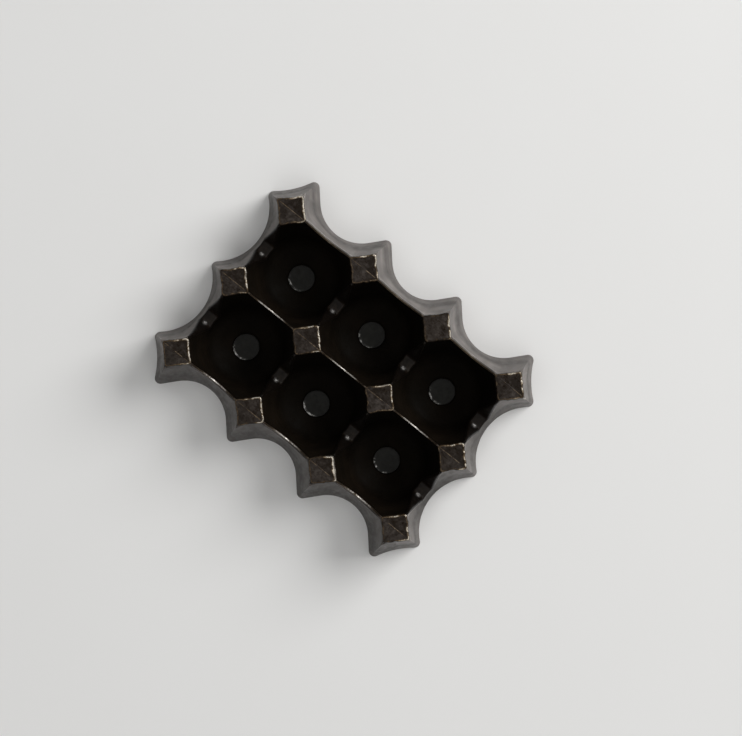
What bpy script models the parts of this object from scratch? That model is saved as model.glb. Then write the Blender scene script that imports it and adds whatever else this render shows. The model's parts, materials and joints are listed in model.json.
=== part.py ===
"""Six-cup candle mould of soldered sheet metal.

Six bowl-shaped cups stand in two rows of three. Capped posts stand at the corners of every cup, thin seam
strips close the joints along the rows, notched saddle bridges close the joints across them, and a scalloped
skirt with an ear at every outer post carries the whole to the table. A loose disc closes the foot of each cup
and lifts out with the candle.

Metres, +Z up. The origin is on the table plane under the middle of the mould, and +X runs along the rows.
"""

import math

import bmesh
import bpy
from mathutils import Vector

MM = 0.001

# Layout
PITCH_X = 48.0 * MM
PITCH_Y = 46.9 * MM
COLUMNS = 3
ROWS = 2
HALF_X = PITCH_X / 2
HALF_Y = PITCH_Y / 2
LINE_X = COLUMNS * HALF_X
LINE_Y = ROWS * HALF_Y

# Sheet, clearances and heights
SHEET = 1.2 * MM
GAP = 0.3 * MM
CUTTER_MARGIN = 5.0 * MM
HEIGHT = 44.0 * MM
CAP_RISE = 0.6 * MM
CAP_THICK = 1.5 * MM
DECK_Z = HEIGHT - CAP_RISE
RIM_Z = DECK_Z - CAP_THICK - GAP

# Cup: a sloping floor and a drafted wall joined by a fillet, with a seat for the loose disc
MOUTH_R = 27.2 * MM
SEAT_R = 7.2 * MM
SEAT_LIP_Z = 2.8 * MM
SEAT_FLOOR_Z = 1.0 * MM
PUSH_HOLE_R = 5.0 * MM
FLOOR_ANGLE = math.radians(31.0)
WALL_ANGLE = math.radians(77.5)
BOWL_FILLET = 10.0 * MM
CUP_STEPS = 36
FILLET_STEPS = 5

# Loose base disc
DISC_R = 6.9 * MM
DISC_THICK = 1.0 * MM
DISC_SEGMENTS = 32

# Post caps
CAP_TIP_HALF = 0.65 * MM
CAP_ARC_STEPS = 6
FLAT_CAP_BORDER = 1.0 * MM

# Seam strips along the rows
SEAM_HALF = 0.45 * MM
SEAM_DEPTH = 4.0 * MM
SEAM_PROUD = 0.3 * MM
SEAM_STEPS = 12

# Saddle bridges across the rows
NOTCH_HALF = 3.7 * MM
NOTCH_Z = 14.8 * MM
BRIDGE_FLAT_THICK = 1.5 * MM
BRIDGE_SLOPE_THICK = 4.0 * MM
BRIDGE_SLOPE_GAP = 1.0 * MM
BRIDGE_MIN_HALF = 0.5 * MM
BRIDGE_CLIMB_STEPS = 3

# Skirt
EAR_OUT_SIDE = 21.4 * MM
EAR_OUT_END = 18.0 * MM
VALLEY_OUT_SIDE = 6.4 * MM
VALLEY_OUT_END = 7.0 * MM
FLANK_SIDE = math.radians(48.0)
FLANK_END = math.radians(48.0)
EAR_R = 3.0 * MM
CORNER_LEAN = 1.3 * MM
CORNER_ARC_R = 48.0 * MM
SKIRT_THICK = 1.6 * MM
SKIRT_TOP_THICK = 0.6 * MM
BREAK_HEIGHT = 0.30
BREAK_WIDTH = 0.33
EAR_STEPS = 3
SCALLOP_STEPS = 12
CORNER_STEPS = 4

# Colours: dark patinated metal, a little warmer on the worn deck pieces
PATINA = (0.030, 0.027, 0.024)
SKIRT_GREY = (0.085, 0.080, 0.078)
WORN_BRONZE = (0.150, 0.110, 0.065)
DISC_GREY = (0.060, 0.060, 0.057)

ROW_NAMES = ("front", "back")
LINE_NAMES = ("front", "middle", "back")


# ---------------------------------------------------------------- helpers


def clear_scene():
    for thing in list(bpy.data.objects):
        bpy.data.objects.remove(thing, do_unlink=True)


def new_collection(name):
    collection = bpy.data.collections.new(name)
    bpy.context.scene.collection.children.link(collection)
    return collection


def metal(name, color, roughness):
    material = bpy.data.materials.new(name)
    material.use_nodes = True
    shader = material.node_tree.nodes["Principled BSDF"]
    shader.inputs["Base Color"].default_value = (*color, 1.0)
    shader.inputs["Metallic"].default_value = 1.0
    shader.inputs["Roughness"].default_value = roughness
    return material


def add_part(name, mesh, collection, material, location=(0, 0, 0)):
    part = bpy.data.objects.new(name, mesh)
    part.location = location
    collection.objects.link(part)
    if not mesh.materials:
        mesh.materials.append(material)
    return part


def mesh_from_bmesh(name, bm):
    bmesh.ops.recalc_face_normals(bm, faces=bm.faces)
    mesh = bpy.data.meshes.new(name)
    bm.to_mesh(mesh)
    bm.free()
    return mesh


def loft(name, rings):
    """One closed body through rings of matching points, with a flat face on the first and the last."""
    bm = bmesh.new()
    rows = [[bm.verts.new(point) for point in ring] for ring in rings]
    count = len(rings[0])
    for one, two in zip(rows, rows[1:]):
        for i in range(count):
            j = (i + 1) % count
            bm.faces.new((one[i], one[j], two[j], two[i]))
    bm.faces.new(rows[0])
    bm.faces.new(rows[-1])
    return mesh_from_bmesh(name, bm)


def baked_mesh(part):
    """The object's mesh with its modifiers applied; the object itself is removed."""
    graph = bpy.context.evaluated_depsgraph_get()
    mesh = bpy.data.meshes.new_from_object(part.evaluated_get(graph))
    bpy.data.objects.remove(part, do_unlink=True)
    return mesh


# ---------------------------------------------------------------- the bowl's profile


def outward(angle):
    """Unit normal, away from the bowl's inside, of a profile stretch that climbs at this angle."""
    return Vector((math.sin(angle), -math.cos(angle)))


def fillet_centre():
    """Centre (radius, height) of the arc that joins the floor line to the wall line."""
    floor_n = outward(FLOOR_ANGLE)
    wall_n = outward(WALL_ANGLE)
    floor_c = floor_n.dot(Vector((SEAT_R, SEAT_LIP_Z))) - BOWL_FILLET
    wall_c = wall_n.dot(Vector((MOUTH_R, DECK_Z))) - BOWL_FILLET
    det = floor_n.x * wall_n.y - floor_n.y * wall_n.x
    radius = (floor_c * wall_n.y - wall_c * floor_n.y) / det
    height = (floor_n.x * wall_c - wall_n.x * floor_c) / det
    return Vector((radius, height))


FILLET = fillet_centre()


def bowl_radius(z):
    """Inner radius of a cup at height z."""
    drop = (FILLET.y - z) / BOWL_FILLET
    if drop <= math.cos(WALL_ANGLE):
        return MOUTH_R - (DECK_Z - z) / math.tan(WALL_ANGLE)
    if drop >= math.cos(FLOOR_ANGLE):
        return SEAT_R + (z - SEAT_LIP_Z) / math.tan(FLOOR_ANGLE)
    return FILLET.x + BOWL_FILLET * math.sqrt(1 - drop * drop)


def wall_height(r):
    """Height at which the drafted wall has inner radius r, held at the deck."""
    return min(DECK_Z, DECK_Z - (MOUTH_R - r) * math.tan(WALL_ANGLE))


def bowl_line(offset, seat_end, rim_end):
    """Profile points (radius, height) from seat to rim, moved outward by offset."""
    radius = BOWL_FILLET + offset
    points = []
    for i in range(FILLET_STEPS + 1):
        angle = FLOOR_ANGLE + (WALL_ANGLE - FLOOR_ANGLE) * i / FILLET_STEPS
        points.append(FILLET + outward(angle) * radius)
    start, end = points[0], points[-1]
    foot = Vector((seat_end, start.y - (start.x - seat_end) * math.tan(FLOOR_ANGLE)))
    rim = Vector((end.x + (rim_end - end.y) / math.tan(WALL_ANGLE), rim_end))
    return [foot] + points + [rim]


# ---------------------------------------------------------------- crests between the cups


def ridge_crest(along):
    """Height of the crest between the two rows, at a distance along X from the middle of a cup."""
    return wall_height(math.hypot(along, HALF_Y))


NOTCH_END = math.sqrt(MOUTH_R**2 - HALF_X**2)
STRAP_END = math.sqrt(MOUTH_R**2 - (HALF_X - CAP_TIP_HALF) ** 2) - GAP
SADDLE_SLOPE = (DECK_Z - NOTCH_Z) / (NOTCH_END - NOTCH_HALF)
SEAT_Z = NOTCH_Z - BRIDGE_FLAT_THICK - GAP
SEAT_HALF = NOTCH_HALF + (BRIDGE_SLOPE_THICK + BRIDGE_SLOPE_GAP - BRIDGE_FLAT_THICK - GAP) / SADDLE_SLOPE


def saddle_climb(along):
    """Line that a saddle's crest climbs along, at a distance along Y from the middle of a cup."""
    return NOTCH_Z + SADDLE_SLOPE * (abs(along) - NOTCH_HALF)


def saddle_crest(along):
    """Height of the crest between two cups of a row: the climbing line, held at the notch and at the deck."""
    return min(max(saddle_climb(along), NOTCH_Z), DECK_Z)


def saddle_seat(along):
    """Height of the cut edges that a saddle bridge lies over."""
    return min(max(SEAT_Z + SADDLE_SLOPE * (abs(along) - SEAT_HALF), SEAT_Z), RIM_Z)


# ---------------------------------------------------------------- cups and their discs


def cup_profile():
    """Closed loop (radius, height): down the outside, under the foot and up the inside."""
    outer = bowl_line(SHEET, SEAT_R + SHEET, RIM_Z)
    inner = bowl_line(0.0, SEAT_R, RIM_Z)
    foot = [
        Vector((SEAT_R + SHEET, 0.0)),
        Vector((PUSH_HOLE_R, 0.0)),
        Vector((PUSH_HOLE_R, SEAT_FLOOR_Z)),
        Vector((SEAT_R, SEAT_FLOOR_Z)),
    ]
    return outer[::-1] + foot + inner


def turned_blank(name, profile, steps, collection):
    mesh = bpy.data.meshes.new(name)
    count = len(profile)
    edges = [(i, (i + 1) % count) for i in range(count)]
    mesh.from_pydata([(p.x, 0.0, p.y) for p in profile], edges, [])
    blank = bpy.data.objects.new(name, mesh)
    collection.objects.link(blank)
    screw = blank.modifiers.new("turn", "SCREW")
    screw.axis = "Z"
    screw.steps = steps
    screw.render_steps = steps
    screw.use_merge_vertices = True
    screw.merge_threshold = 0.01 * MM
    return blank


def cell_envelope(collection):
    """The block of space that one cup may fill: straight sides, and a vee over its two saddles."""
    side = HALF_Y - SEAM_HALF - GAP
    high = HEIGHT + CUTTER_MARGIN
    low = -CUTTER_MARGIN
    vee_half = SEAT_HALF + (high - SEAT_Z) / SADDLE_SLOPE
    outline = [
        (-side, low),
        (side, low),
        (side, high),
        (vee_half, high),
        (SEAT_HALF, SEAT_Z),
        (-SEAT_HALF, SEAT_Z),
        (-vee_half, high),
        (-side, high),
    ]
    reach = HALF_X - GAP / 2
    rings = [[(x, y, z) for y, z in outline] for x in (-reach, reach)]
    envelope = bpy.data.objects.new("cell_envelope", loft("cell_envelope", rings))
    envelope.hide_render = True
    envelope.display_type = "WIRE"
    collection.objects.link(envelope)
    return envelope


def cup_mesh(parts, cutters):
    blank = turned_blank("cup_blank", cup_profile(), CUP_STEPS, parts)
    trim = blank.modifiers.new("trim", "BOOLEAN")
    trim.operation = "INTERSECT"
    trim.solver = "EXACT"
    trim.object = cell_envelope(cutters)
    mesh = baked_mesh(blank)
    mesh.name = "cup"
    return mesh


def disc_mesh():
    bm = bmesh.new()
    bmesh.ops.create_cone(
        bm,
        cap_ends=True,
        segments=DISC_SEGMENTS,
        radius1=DISC_R,
        radius2=DISC_R,
        depth=DISC_THICK,
    )
    bmesh.ops.translate(bm, verts=bm.verts, vec=(0, 0, SEAT_FLOOR_Z + GAP + DISC_THICK / 2))
    return mesh_from_bmesh("base_disc", bm)


def cup_centre(row, column):
    x = (column - (COLUMNS - 1) / 2) * PITCH_X
    y = (row - (ROWS - 1) / 2) * PITCH_Y
    return Vector((x, y, 0.0))


def add_cups(parts, cutters, patina, disc_metal):
    cup = cup_mesh(parts, cutters)
    disc = disc_mesh()
    for row, row_name in enumerate(ROW_NAMES):
        for column in range(COLUMNS):
            label = f"{row_name}_{column + 1}"
            centre = cup_centre(row, column)
            add_part(f"cup_{label}", cup, parts, patina, centre)
            add_part(f"base_disc_{label}", disc, parts, disc_metal, centre)


# ---------------------------------------------------------------- post caps


def cap_outline():
    """Concave diamond between four cup mouths, with blunt tips on the X and Y directions."""
    start = math.atan2(HALF_Y - CAP_TIP_HALF, math.sqrt(MOUTH_R**2 - (HALF_Y - CAP_TIP_HALF) ** 2))
    end = math.atan2(math.sqrt(MOUTH_R**2 - (HALF_X - CAP_TIP_HALF) ** 2), HALF_X - CAP_TIP_HALF)
    quarter = []
    for i in range(CAP_ARC_STEPS + 1):
        angle = start + (end - start) * i / CAP_ARC_STEPS
        quarter.append((HALF_X - MOUTH_R * math.cos(angle), HALF_Y - MOUTH_R * math.sin(angle)))
    right = quarter + [(x, -y) for x, y in quarter[::-1]]
    left = [(-x, -y) for x, y in right]
    return right + left


def cap_mesh(name, flat):
    """A cap with a peak in the middle, or with a level top inside a sloping border."""
    bm = bmesh.new()
    base = bm.faces.new([bm.verts.new((x, y, RIM_Z + GAP)) for x, y in cap_outline()])
    grown = bmesh.ops.extrude_face_region(bm, geom=[base])["geom"]
    top = [item for item in grown if isinstance(item, bmesh.types.BMVert)]
    bmesh.ops.translate(bm, verts=top, vec=(0, 0, CAP_THICK))
    bmesh.ops.recalc_face_normals(bm, faces=bm.faces)
    lid = [item for item in grown if isinstance(item, bmesh.types.BMFace)]
    raised = []
    if flat:
        bmesh.ops.inset_region(bm, faces=lid, thickness=FLAT_CAP_BORDER)
        raised = list(lid[0].verts)
    raised += bmesh.ops.poke(bm, faces=lid)["verts"]
    bmesh.ops.translate(bm, verts=raised, vec=(0, 0, CAP_RISE))
    underside = min(bm.faces, key=lambda face: face.calc_center_median().z)
    bmesh.ops.poke(bm, faces=[underside])
    return mesh_from_bmesh(name, bm)


def add_caps(parts, worn):
    peaked = cap_mesh("post_cap", False)
    flat = cap_mesh("post_cap_flat", True)
    for line, line_name in enumerate(LINE_NAMES):
        for post in range(COLUMNS + 1):
            is_flat = line_name == "back" and post == 2
            place = (post * PITCH_X - LINE_X, line * PITCH_Y - LINE_Y, 0.0)
            name = f"post_cap_{line_name}_{post + 1}"
            add_part(name, flat if is_flat else peaked, parts, worn, place)


# ---------------------------------------------------------------- seam strips


def seam_mesh():
    """Upright strip whose top follows the crest between the rows from post to post."""
    reach = math.sqrt(MOUTH_R**2 - (HALF_Y - CAP_TIP_HALF) ** 2) - GAP
    tops = []
    for i in range(SEAM_STEPS + 1):
        along = reach * (2 * i / SEAM_STEPS - 1)
        tops.append((along, min(ridge_crest(along) + SEAM_PROUD, DECK_Z - SEAM_PROUD)))
    rings = []
    for along, top in tops:
        low = top - SEAM_DEPTH
        rings.append(
            [
                (along, -SEAM_HALF, low),
                (along, SEAM_HALF, low),
                (along, SEAM_HALF, top),
                (along, -SEAM_HALF, top),
            ]
        )
    return loft("seam_strip", rings)


def add_seams(parts, worn):
    seam = seam_mesh()
    for line, line_name in enumerate(LINE_NAMES):
        for column in range(COLUMNS):
            place = (cup_centre(0, column).x, line * PITCH_Y - LINE_Y, 0.0)
            add_part(f"seam_strip_{line_name}_{column + 1}", seam, parts, worn, place)


# ---------------------------------------------------------------- saddle bridges


def saddle_half_width(along, z):
    """Half the width of the wall between two cups of a row, at a height and a distance along Y."""
    return max(HALF_X - math.sqrt(bowl_radius(z) ** 2 - along**2), BRIDGE_MIN_HALF)


def bridge_mesh():
    """Strap that dips from post to post, flat over the notch, as wide as the wall under it."""
    climb = (NOTCH_END - GAP - NOTCH_HALF) / BRIDGE_CLIMB_STEPS
    half = [NOTCH_HALF + climb * i for i in range(BRIDGE_CLIMB_STEPS + 1)] + [STRAP_END]
    rings = []
    for along in [-v for v in half[::-1]] + half:
        top = saddle_crest(along)
        low = max(NOTCH_Z - BRIDGE_FLAT_THICK, saddle_climb(along) - BRIDGE_SLOPE_THICK)
        wide = saddle_half_width(along, low)
        narrow = saddle_half_width(along, top)
        rings.append(
            [
                (-wide, along, low),
                (wide, along, low),
                (narrow, along, top),
                (-narrow, along, top),
            ]
        )
    return loft("saddle_bridge", rings)


def add_bridges(parts, patina):
    bridge = bridge_mesh()
    for row, row_name in enumerate(ROW_NAMES):
        for post in range(COLUMNS + 1):
            place = (post * PITCH_X - LINE_X, cup_centre(row, 0).y, 0.0)
            add_part(f"saddle_bridge_{row_name}_{post + 1}", bridge, parts, patina, place)


# ---------------------------------------------------------------- skirt
#
# A side is worked out in its own plan coordinates (s, d): s runs along the line of outer posts and d is the
# distance outside that line. half is the half pitch along s, and across is the half pitch along d.


class Side:
    def __init__(self, half, across, cells, line, ear, valley, flank, other_ear, crest):
        self.half = half
        self.across = across
        self.cells = cells
        self.line = line
        self.ear = ear - EAR_R
        self.valley = valley
        self.flank = flank
        self.other_ear = other_ear - EAR_R
        self.crest = crest


def scallop_foot(side, cell):
    """Foot outline of one scallop from ear tip to ear tip, as (s, d, place along the crest above).

    Each end is an ear's round tip, a straight flank follows, and one arc makes the valley. Corner ears lean
    outward along the side.
    """
    left_lean = CORNER_LEAN if cell == 0 else 0.0
    right_lean = CORNER_LEAN if cell == side.cells - 1 else 0.0
    half = side.half + (left_lean + right_lean) / 2
    middle = (right_lean - left_lean) / 2
    cos = math.cos(side.flank)
    radius = (half * math.sin(side.flank) - (side.ear - side.valley) * cos - EAR_R) / (1 - cos)
    ear = []
    for i in range(EAR_STEPS + 1):
        angle = side.flank * i / EAR_STEPS
        ear.append((EAR_R * math.sin(angle) - half, side.ear + EAR_R * math.cos(angle)))
    arc = []
    for i in range(SCALLOP_STEPS + 1):
        angle = side.flank * (2 * i / SCALLOP_STEPS - 1)
        arc.append((radius * math.sin(angle), side.valley + radius * (1 - math.cos(angle))))
    outline = ear + arc + [(-s, d) for s, d in ear[::-1]]
    return [(s + middle, d, s * side.half / half) for s, d in outline]


def straight_column(side, s, d, along):
    """Six points (s, d, z) round the sheet: outer top, break, foot, then the inner three."""
    z = min(side.crest(along), RIM_Z)
    reach = math.sqrt(max(bowl_radius(z) ** 2 - along**2, 0.0))
    inner = SEAM_HALF + GAP
    top = max(side.across - reach, inner + SKIRT_TOP_THICK)
    knee = (s + (along - s) * BREAK_WIDTH, d + (top - d) * BREAK_WIDTH, z * BREAK_HEIGHT)
    outer = [(along, top, z), knee, (s, d, 0.0)]
    thick = [min(SKIRT_THICK, top - inner), SKIRT_THICK, SKIRT_THICK]
    return outer + [(a, b - t, c) for (a, b, c), t in zip(outer[::-1], thick[::-1])]


def corner_foot(side, mitre_turn):
    """Foot outline (s, d) from the tip of a corner ear to the mitre, from the corner post's centre."""
    ear = Vector((CORNER_LEAN, side.ear))
    other = Vector((side.other_ear, CORNER_LEAN))
    mitre = Vector((math.sin(mitre_turn), math.cos(mitre_turn)))
    lift = math.sqrt((CORNER_ARC_R + EAR_R) ** 2 - ((other - ear).length / 2) ** 2)
    pivot = (ear + other) / 2 + mitre * lift
    turn = math.atan2(pivot.x - ear.x, pivot.y - ear.y)
    foot = []
    for i in range(1, EAR_STEPS + 1):
        angle = turn * i / EAR_STEPS
        foot.append(ear + Vector((math.sin(angle), math.cos(angle))) * EAR_R)
    for i in range(1, CORNER_STEPS + 1):
        angle = turn + (mitre_turn - turn) * i / CORNER_STEPS
        foot.append(pivot - Vector((math.sin(angle), math.cos(angle))) * CORNER_ARC_R)
    return foot


def corner_columns(side):
    """Columns from the tip of a corner ear to the mitre, measured from the corner post's centre."""
    mitre_turn = math.atan2(side.ear - CORNER_LEAN, side.other_ear - CORNER_LEAN)
    foot = corner_foot(side, mitre_turn)
    centre = Vector((side.half, side.across))
    reach = bowl_radius(RIM_Z)
    first = math.asin(side.half / reach)
    last = math.atan2(side.half, side.across)
    columns = []
    for i, outline in enumerate(foot, start=1):
        part = i / len(foot)
        angle = first + (last - first) * part
        top = centre - Vector((math.sin(angle), math.cos(angle))) * reach
        inward = -Vector((math.sin(mitre_turn * part), math.cos(mitre_turn * part)))
        knee = outline.lerp(top, BREAK_WIDTH)
        outer = [(top, RIM_Z), (knee, RIM_Z * BREAK_HEIGHT), (outline, 0.0)]
        ring = outer + [(p + inward * SKIRT_THICK, z) for p, z in outer[::-1]]
        columns.append([(p.x, p.y, z) for p, z in ring])
    pull = Vector((-math.cos(mitre_turn), math.sin(mitre_turn))) * GAP / 2
    columns[-1] = [(s + pull.x, d + pull.y, z) for s, d, z in columns[-1]]
    return columns


def side_columns(side):
    """All columns (s, d, z) of one skirt panel, from mitre to mitre."""
    columns = []
    for cell in range(side.cells):
        shift = (2 * cell - side.cells + 1) * side.half
        outline = scallop_foot(side, cell)
        if cell:
            outline = outline[1:]
        for s, d, along in outline:
            ring = straight_column(side, s, d, along)
            columns.append([(a + shift, b, c) for a, b, c in ring])
    end = side.cells * side.half
    corner = corner_columns(side)
    right = [[(s + end, d, z) for s, d, z in ring] for ring in corner]
    left = [[(-s - end, d, z) for s, d, z in ring] for ring in corner[::-1]]
    return left + columns + right


def panel_mesh(name, side, turn):
    """The panel turned clockwise by quarter turns from the back side."""
    cos = round(math.cos(math.radians(90 * turn)))
    sin = round(math.sin(math.radians(90 * turn)))
    rings = []
    for column in side_columns(side):
        ring = [(s, d + side.line, z) for s, d, z in column]
        rings.append([(s * cos + y * sin, y * cos - s * sin, z) for s, y, z in ring])
    return loft(name, rings)


def add_skirt(parts, grey):
    long_side = Side(
        half=HALF_X,
        across=HALF_Y,
        cells=COLUMNS,
        line=LINE_Y,
        ear=EAR_OUT_SIDE,
        valley=VALLEY_OUT_SIDE,
        flank=FLANK_SIDE,
        other_ear=EAR_OUT_END,
        crest=ridge_crest,
    )
    end_side = Side(
        half=HALF_Y,
        across=HALF_X,
        cells=ROWS,
        line=LINE_X,
        ear=EAR_OUT_END,
        valley=VALLEY_OUT_END,
        flank=FLANK_END,
        other_ear=EAR_OUT_SIDE,
        crest=saddle_seat,
    )
    panels = (("back", long_side), ("right", end_side), ("front", long_side), ("left", end_side))
    for turn, (label, side) in enumerate(panels):
        name = f"skirt_{label}"
        add_part(name, panel_mesh(name, side, turn), parts, grey)


# ---------------------------------------------------------------- build


def build():
    clear_scene()
    parts = new_collection("candle_mould")
    cutters = new_collection("cutters")
    patina = metal("dark_patina", PATINA, 0.45)
    grey = metal("skirt_grey", SKIRT_GREY, 0.35)
    worn = metal("worn_bronze", WORN_BRONZE, 0.40)
    disc_metal = metal("disc_grey", DISC_GREY, 0.50)
    add_cups(parts, cutters, patina, disc_metal)
    add_caps(parts, worn)
    add_seams(parts, worn)
    add_bridges(parts, patina)
    add_skirt(parts, grey)


build()
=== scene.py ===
"""Looks of the six-cup candle mould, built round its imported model.

Every CAD node is stood for by one finer piece of the same name: the cups, the loose base discs, the post
caps with their uneven beads, the seam strips, the saddle bridges and the scalloped skirt. Metres, +Z up.
"""

import itertools
import json
import math

import bmesh
import bpy
import numpy as np
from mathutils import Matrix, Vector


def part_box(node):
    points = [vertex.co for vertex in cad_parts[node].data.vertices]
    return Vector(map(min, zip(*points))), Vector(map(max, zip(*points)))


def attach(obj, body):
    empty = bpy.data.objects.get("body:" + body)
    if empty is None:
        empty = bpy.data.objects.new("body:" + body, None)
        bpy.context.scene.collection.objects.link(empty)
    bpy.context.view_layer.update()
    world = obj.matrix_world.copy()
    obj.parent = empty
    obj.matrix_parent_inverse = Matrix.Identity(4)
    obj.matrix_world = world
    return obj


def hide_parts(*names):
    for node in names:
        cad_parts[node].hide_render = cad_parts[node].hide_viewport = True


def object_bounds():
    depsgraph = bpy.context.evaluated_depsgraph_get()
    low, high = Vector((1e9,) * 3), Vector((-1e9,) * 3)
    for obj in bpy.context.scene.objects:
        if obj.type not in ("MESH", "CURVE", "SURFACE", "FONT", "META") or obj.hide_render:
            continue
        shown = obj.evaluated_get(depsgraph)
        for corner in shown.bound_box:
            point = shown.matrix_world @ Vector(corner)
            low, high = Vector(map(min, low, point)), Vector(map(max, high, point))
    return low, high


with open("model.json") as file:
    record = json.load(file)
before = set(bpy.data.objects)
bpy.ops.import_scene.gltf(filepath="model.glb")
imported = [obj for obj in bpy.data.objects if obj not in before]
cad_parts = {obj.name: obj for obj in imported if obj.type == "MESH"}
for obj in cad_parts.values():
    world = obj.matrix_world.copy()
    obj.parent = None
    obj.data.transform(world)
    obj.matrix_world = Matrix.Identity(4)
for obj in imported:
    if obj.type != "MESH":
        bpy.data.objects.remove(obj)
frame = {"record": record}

CAD_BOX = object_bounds()
MM = 0.001
BODY_OF = {node: body for body, nodes in frame["record"]["behaviour"]["bodies"].items() for node in nodes}


def node_centre(node):
    low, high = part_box(node)
    return np.array((low + high) / 2)


# Layout, from the frame
ROW_NAMES = ("front", "back")
LINE_NAMES = ("front", "middle", "back")
COLUMNS = 3
ROWS = 2
FIRST_CUP = node_centre("base_disc_front_1")
HALF_X = (node_centre("base_disc_front_2")[0] - FIRST_CUP[0]) / 2
HALF_Y = (node_centre("base_disc_back_1")[1] - FIRST_CUP[1]) / 2
LINE_X = COLUMNS * HALF_X
LINE_Y = ROWS * HALF_Y
HEIGHT = CAD_BOX[1].z

# Sheet and heights
SHEET = 1.2 * MM
HAIRLINE = 0.05 * MM
CAP_RISE = 0.6 * MM
CAP_THICK = 1.5 * MM
DECK_Z = HEIGHT - CAP_RISE
RIM_Z = DECK_Z - CAP_THICK - HAIRLINE

# Cup
MOUTH_R = 27.2 * MM
SEAT_R = 7.2 * MM
SEAT_LIP_Z = 2.8 * MM
SEAT_FLOOR_Z = 1.0 * MM
PUSH_HOLE_R = 5.0 * MM
FLOOR_ANGLE = math.radians(31.0)
WALL_ANGLE = math.radians(77.5)
BOWL_FILLET = 10.0 * MM
CUP_COLUMNS = 216
EDGE_THICK = 0.15 * MM
CHIPPED_CUP = "cup_front_2"
CHIP_AT = np.array((-21.0, -7.0, 25.0)) * MM

# Loose disc
DISC_R = 7.12 * MM
DISC_COLUMNS = 96

# Caps and seam strips
CAP_COLUMNS = 176
CAP_TIP_HALF = 0.65 * MM
CAP_TIP_X = 9.9 * MM
CAP_TIP_Y = 9.95 * MM
CAP_TIP_EASE = 0.6 * MM
CAP_TIP_ROUND = 0.08
CAP_OVERHANG = 0.2 * MM
CAP_STRAIGHTEN = 0.32
FACET_TONE = (0.14, 0.22, 0.42, 0.62)
FLAT_CAP = "post_cap_back_3"
THICK_CAP = "post_cap_front_3"
SEAM_HALF = 0.45 * MM
SEAM_DEPTH = 4.0 * MM
SEAM_PROUD = 0.3 * MM
SEAM_COLUMNS = 90

# Saddle bridges
NOTCH_HALF = 3.7 * MM
NOTCH_Z = 14.8 * MM
BRIDGE_FLAT_THICK = 1.5 * MM
BRIDGE_SLOPE_THICK = 4.0 * MM
BRIDGE_MIN_HALF = 0.5 * MM
BRIDGE_EASE = 1.2 * MM
BRIDGE_COLUMNS = 72

# Skirt
EAR_OUT_SIDE = 21.4 * MM
EAR_OUT_END = 18.0 * MM
VALLEY_OUT_SIDE = 6.4 * MM
VALLEY_OUT_END = 7.0 * MM
FLANK = math.radians(48.0)
EAR_R = 3.0 * MM
CORNER_LEAN = 1.3 * MM
CORNER_ARC_R = 48.0 * MM
SKIRT_THICK = 1.6 * MM
SKIRT_TOP_THICK = 0.6 * MM
BREAK_HEIGHT = 0.30
BREAK_WIDTH = 0.33
# Coat tones, painted highlight and shade: from foot to rim, then along each panel clockwise seen from above,
# lighter on the lit back and right and darker on the shaded front. The rim wear bares the rim, as wear and as
# painted highlight, most on the lit back and right.
SKIRT_BAND_AT = (0.0, 0.06, 0.2, 0.32, 0.42, 0.52, 0.64, 0.85, 1.0)
SKIRT_BAND_PAINTED_LIGHT = (1.0, 0.68, 0.82, 0.38, 0.22, 0.62, 0.92, 0.85, 0.9)
RIM_WEAR = {"back": 0.55, "right": 0.60, "front": 0.12, "left": 0.20}
PANEL_PAINTED_LIGHT = {"back": (0.88,), "right": (1.0, 0.9, 0.35, 0.35, 0.9, 0.15, 0.05, 0.8, 1.0),
              "front": (0.30,), "left": (0.7,)}
EAR_STEPS = 9
SCALLOP_STEPS = 44
CORNER_STEPS = 14

# Camera
CAMERA_AT = (10.7 * MM, 9.5 * MM, 1168.5 * MM)
CAMERA_TURN = math.radians(38.88)
CAMERA_LENS = 106.3
SENSOR_WIDTH = 36.0

# Floor, surround and window. Each edge is the cosines of a soft circle's outer and inner angles.
FLOOR_HALF = 3.0
FLOOR_Z = -0.1 * MM
WORLD_COLOUR = (0.998, 1.0, 0.995, 1.0)
WORLD_LOW = 0.17
WORLD_OVERHEAD = 1.95
OVERHEAD_TOWARD = (0.052, -0.09, 0.9946)
OVERHEAD_EDGE = (math.cos(math.radians(35)), math.cos(math.radians(24)))
SHADE_TOWARD = (0.0, 0.0, 1.0)
SHADE_EDGE = (math.cos(math.radians(20)), math.cos(math.radians(11)))
SHADE_LEVEL = 0.05
WINDOW_COLOUR = (1.0, 0.997, 0.99)
WINDOW_AZIMUTH = math.radians(70)
WINDOW_ELEVATION = math.radians(40)
WINDOW_FAR = 2.7
WINDOW_ACROSS = 1.8
WINDOW_POWER = 55.0


# ---------------------------------------------------------------- noise and meshes


def lattice(cell, seed):
    """A fixed number from -1 to 1 for every whole-number point."""
    n = np.atleast_2d(cell).astype(np.int64).astype(np.uint32)
    mixed = n[..., 0] * np.uint32(73856093) ^ n[..., 1] * np.uint32(19349663)
    mixed = mixed ^ n[..., 2] * np.uint32(83492791)
    mixed = mixed ^ np.uint32(seed * 7919 + 17)
    mixed = (mixed ^ (mixed >> np.uint32(15))) * np.uint32(2246822519)
    mixed = (mixed ^ (mixed >> np.uint32(13))) * np.uint32(3266489917)
    return (mixed ^ (mixed >> np.uint32(16))) / 2.0**31 - 1.0


def grain(points, size, seed):
    """Smooth noise from -1 to 1 whose features have this size."""
    scaled = np.asarray(points) / size
    cell = np.floor(scaled)
    part = scaled - cell
    part = part * part * (3 - 2 * part)
    total = 0.0
    for corner in itertools.product((0, 1), repeat=3):
        weight = np.prod(np.where(corner, part, 1 - part), axis=-1)
        total = total + weight * lattice(cell + np.array(corner), seed)
    return total


def layered(points, size, seed, layers=3):
    return sum(grain(points, size / 2**i, seed + i) / 2**i for i in range(layers)) / (2 - 2.0 ** (1 - layers))


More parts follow.
